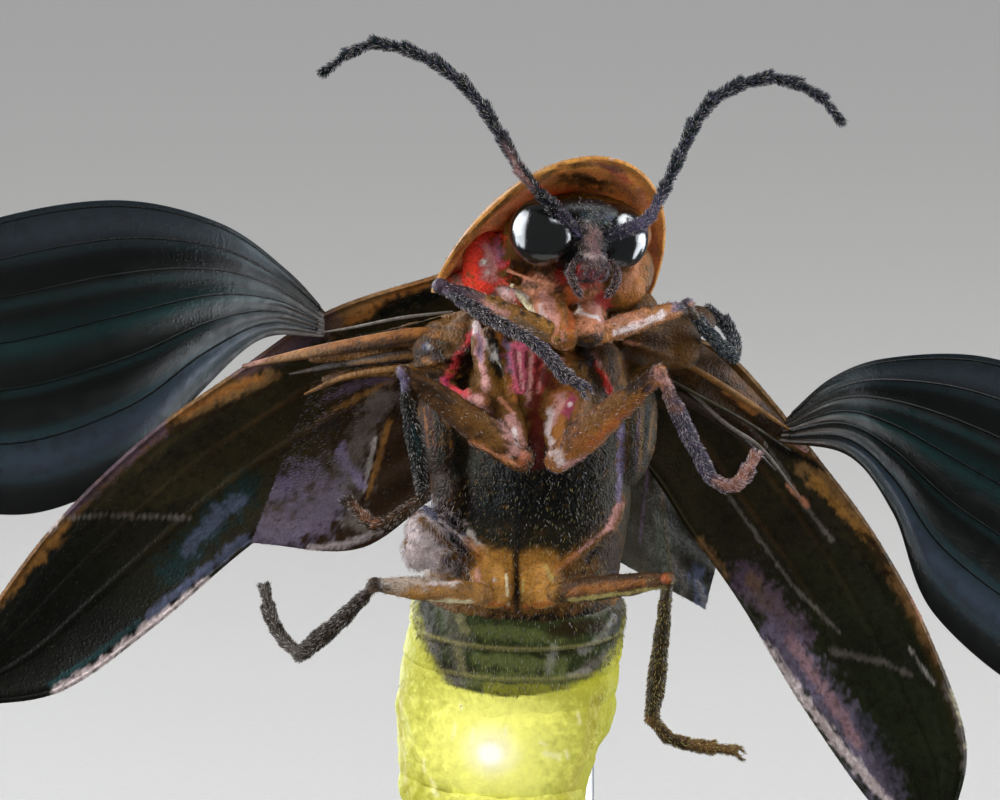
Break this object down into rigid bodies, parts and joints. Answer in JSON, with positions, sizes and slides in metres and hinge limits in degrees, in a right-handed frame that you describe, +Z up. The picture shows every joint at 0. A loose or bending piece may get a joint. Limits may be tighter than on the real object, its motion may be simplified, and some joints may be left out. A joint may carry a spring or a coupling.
{
  "type": "model of a common eastern firefly (beetle) in flight, on a display stand",
  "caption": "Life-size model of a male firefly in flight, wing cases and wings spread, lantern lit, on a round base with a bent rod.",
  "frame": {"origin": "centre of the underside of the stand's round base, on the floor", "axes": "+Z up; the insect's belly and face look along -Y; +X is the viewer's right, the insect's own left side"},
  "size_m": [0.0248, 0.016, 0.0186],
  "materials": {
    "amber_horn": "satin amber horn with fine pale hairs",
    "dark_horn": "satin olive-black horn with short silver hairs",
    "hood_horn": "translucent orange horn with a rosy patch on each side and a dark middle spot",
    "eye": "high-gloss black",
    "wing_case": "satin olive-brown with an amber margin",
    "wing_membrane": "thin smoky membrane with darker veins",
    "lantern": "waxy yellow-green, glowing",
    "stand_paint": "satin charcoal paint on steel",
    "stand_steel": "brushed steel"
  },
  "bodies": {
    "root": {"abdomen_ring_1": "dark_horn", "abdomen_ring_2": "dark_horn", "abdomen_ring_3": "dark_horn", "abdomen_ring_7": "dark_horn", "abdomen_tip": "dark_horn", "antenna_left_1": "dark_horn", "antenna_left_2": "dark_horn", "antenna_left_3": "dark_horn", "antenna_right_1": "dark_horn", "antenna_right_2": "dark_horn", "antenna_right_3": "dark_horn", "elytron_left": "wing_case", "elytron_right": "wing_case", "eye_left": "eye", "eye_right": "eye", "fore_left_coxa": "amber_horn", "fore_left_femur": "amber_horn", "fore_left_tarsus": "dark_horn", "fore_left_tibia": "dark_horn", "fore_right_coxa": "amber_horn", "fore_right_femur": "amber_horn", "fore_right_tarsus": "dark_horn", "fore_right_tibia": "dark_horn", "head": "dark_horn", "hind_left_coxa": "amber_horn", "hind_left_femur": "amber_horn", "hind_left_tarsus": "dark_horn", "hind_left_tibia": "dark_horn", "hind_right_coxa": "amber_horn", "hind_right_femur": "amber_horn", "hind_right_tarsus": "dark_horn", "hind_right_tibia": "dark_horn", "hind_wing_left_blade": "wing_membrane", "hind_wing_left_lobe": "wing_membrane", "hind_wing_right_blade": "wing_membrane", "hind_wing_right_lobe": "wing_membrane", "lantern_front": "lantern", "lantern_rear": "lantern", "mesothorax": "dark_horn", "metathorax": "dark_horn", "mid_left_coxa": "amber_horn", "mid_left_femur": "amber_horn", "mid_left_tarsus": "dark_horn", "mid_left_tibia": "dark_horn", "mid_right_coxa": "amber_horn", "mid_right_femur": "amber_horn", "mid_right_tarsus": "dark_horn", "mid_right_tibia": "dark_horn", "mouthparts": "amber_horn", "palp_left": "dark_horn", "palp_right": "dark_horn", "pronotum": "hood_horn", "prothorax": "amber_horn", "scutellum": "amber_horn", "stand_base": "stand_paint", "stand_rod": "stand_steel"}
  },
  "joints": []
}
